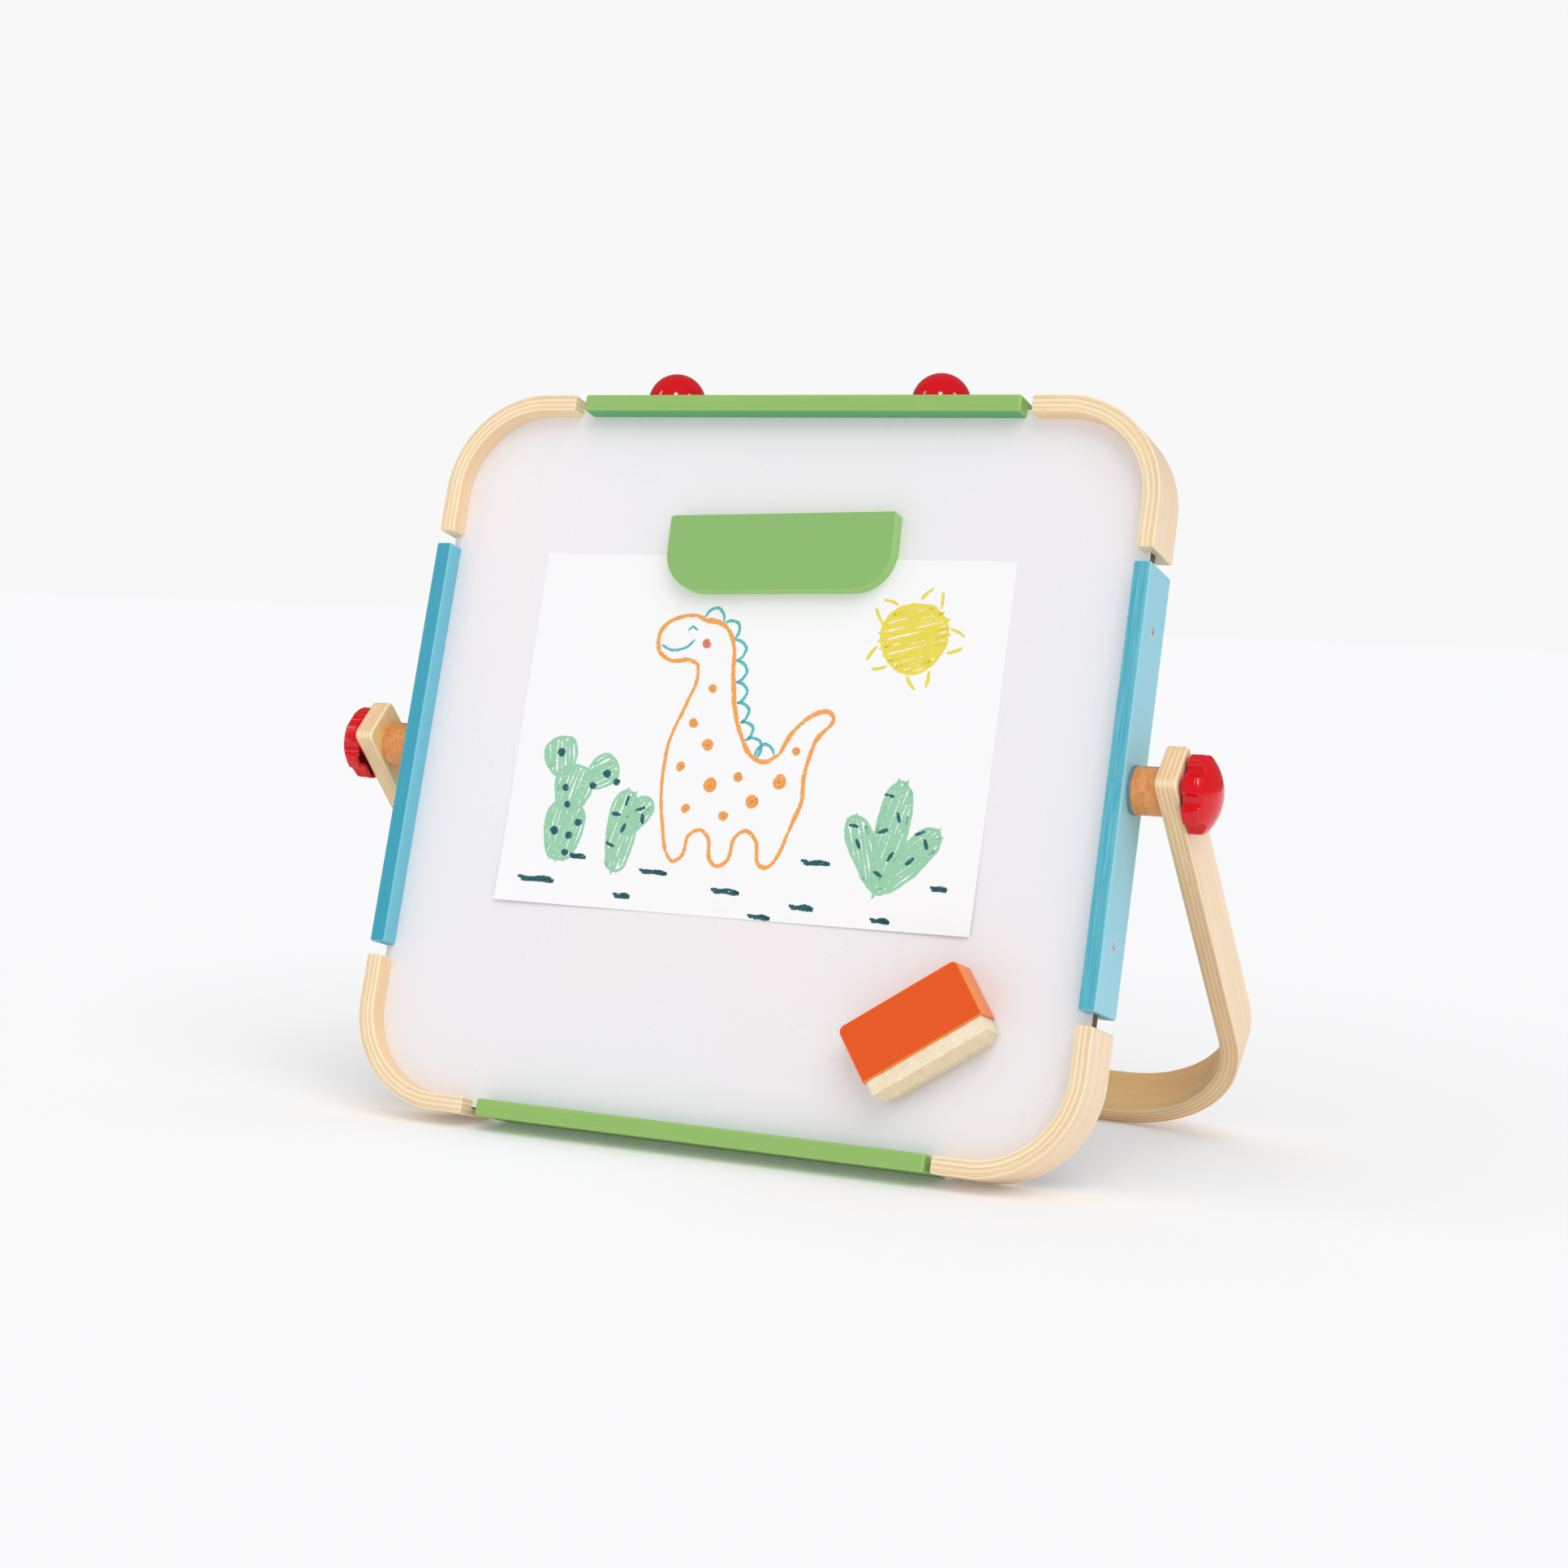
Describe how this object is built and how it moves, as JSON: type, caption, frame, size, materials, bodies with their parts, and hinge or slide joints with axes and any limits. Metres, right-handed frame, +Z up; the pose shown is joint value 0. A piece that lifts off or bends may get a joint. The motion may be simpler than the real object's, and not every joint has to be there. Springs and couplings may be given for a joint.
{
  "type": "tabletop easel",
  "caption": "Double-sided tabletop easel: white and chalk board in a bent-plywood frame on a swinging U stand, with star knobs, magnetic clip, sheet and eraser.",
  "frame": {"origin": "middle of the footprint, on the surface it stands on", "axes": "+Z up, +X across the board to the right of someone facing the white side, -Y out of the white side"},
  "size_m": [0.5458, 0.2698, 0.4387],
  "materials": {
    "bent_plywood": "clear lacquered veneer",
    "green_paint": "satin paint over plywood",
    "blue_paint": "satin paint over plywood",
    "hardboard": "raw hardboard",
    "whiteboard": "white gloss enamel on steel sheet",
    "chalkboard": "matt black chalkboard paint on steel sheet",
    "screw_steel": "zinc plated",
    "bolt_steel": "zinc plated",
    "insert_brass": "plain",
    "red_paint": "gloss paint on turned wood",
    "grey_rubber": "matt",
    "beech": "clear lacquered",
    "red_plastic": "moulded, glossy",
    "paper": "drawing paper",
    "green_plastic": "satin",
    "magnet": "ferrite",
    "orange_plastic": "satin, dense foam",
    "felt": "pressed wool felt"
  },
  "bodies": {
    "board_frame": {"corner_top_left": "bent_plywood", "corner_top_right": "bent_plywood", "corner_bottom_left": "bent_plywood", "corner_bottom_right": "bent_plywood", "bar_top": "green_paint", "bar_bottom": "green_paint", "bar_left": "blue_paint", "bar_right": "blue_paint", "board_core": "hardboard", "whiteboard_skin": "whiteboard", "chalkboard_skin": "chalkboard", "bar_screws": "screw_steel", "ball_screws": "screw_steel", "ball_knob_left": "red_paint", "ball_knob_right": "red_paint", "threaded_insert_left": "insert_brass", "threaded_insert_right": "insert_brass", "rubber_washer_left": "grey_rubber", "rubber_washer_right": "grey_rubber"},
    "stand": {"stand_bow": "bent_plywood", "spacer_left": "beech", "spacer_right": "beech"},
    "left_bolt": {"knob_bolt_left": "bolt_steel"},
    "left_knob": {"star_knob_left": "red_plastic"},
    "right_bolt": {"knob_bolt_right": "bolt_steel"},
    "right_knob": {"star_knob_right": "red_plastic"},
    "sheet": {"paper_sheet": "paper"},
    "clip": {"clip_plate": "green_plastic", "clip_magnets": "magnet"},
    "eraser": {"eraser_body": "orange_plastic", "eraser_felt": "felt", "eraser_magnets": "magnet"}
  },
  "joints": [
    {"name": "stand_swing", "type": "hinge", "parent": "board_frame", "child": "stand", "pos_m": [0, -0.06164, 0.21261], "axis": [1, 0, 0], "continuous": true},
    {"name": "left_bolt_travel", "type": "slide", "parent": "board_frame", "child": "left_bolt", "axis": [-1, 0, 0], "range_m": [0, 0.008]},
    {"name": "left_knob_turn", "type": "hinge", "parent": "left_bolt", "child": "left_knob", "pos_m": [-0.27, -0.06164, 0.21261], "axis": [-1, 0, 0], "range_deg": [0, 2880]},
    {"name": "right_bolt_travel", "type": "slide", "parent": "board_frame", "child": "right_bolt", "axis": [1, 0, 0], "range_m": [0, 0.008]},
    {"name": "right_knob_turn", "type": "hinge", "parent": "right_bolt", "child": "right_knob", "pos_m": [0.27, -0.06164, 0.21261], "axis": [1, 0, 0], "range_deg": [0, 2880]},
    {"name": "sheet_pull", "type": "slide", "parent": "board_frame", "child": "sheet", "axis": [0, -0.9659, 0.2588], "range_m": [0, 0.06]},
    {"name": "clip_pull", "type": "slide", "parent": "sheet", "child": "clip", "axis": [0, -0.9659, 0.2588], "range_m": [0, 0.08]},
    {"name": "eraser_pull", "type": "slide", "parent": "board_frame", "child": "eraser", "axis": [0, -0.9659, 0.2588], "range_m": [0, 0.08]}
  ],
  "couplings": [
    {"joint": "left_bolt_travel", "follows": "left_knob_turn", "m_per_rad": 0.00015915},
    {"joint": "right_bolt_travel", "follows": "right_knob_turn", "m_per_rad": 0.00015915}
  ]
}
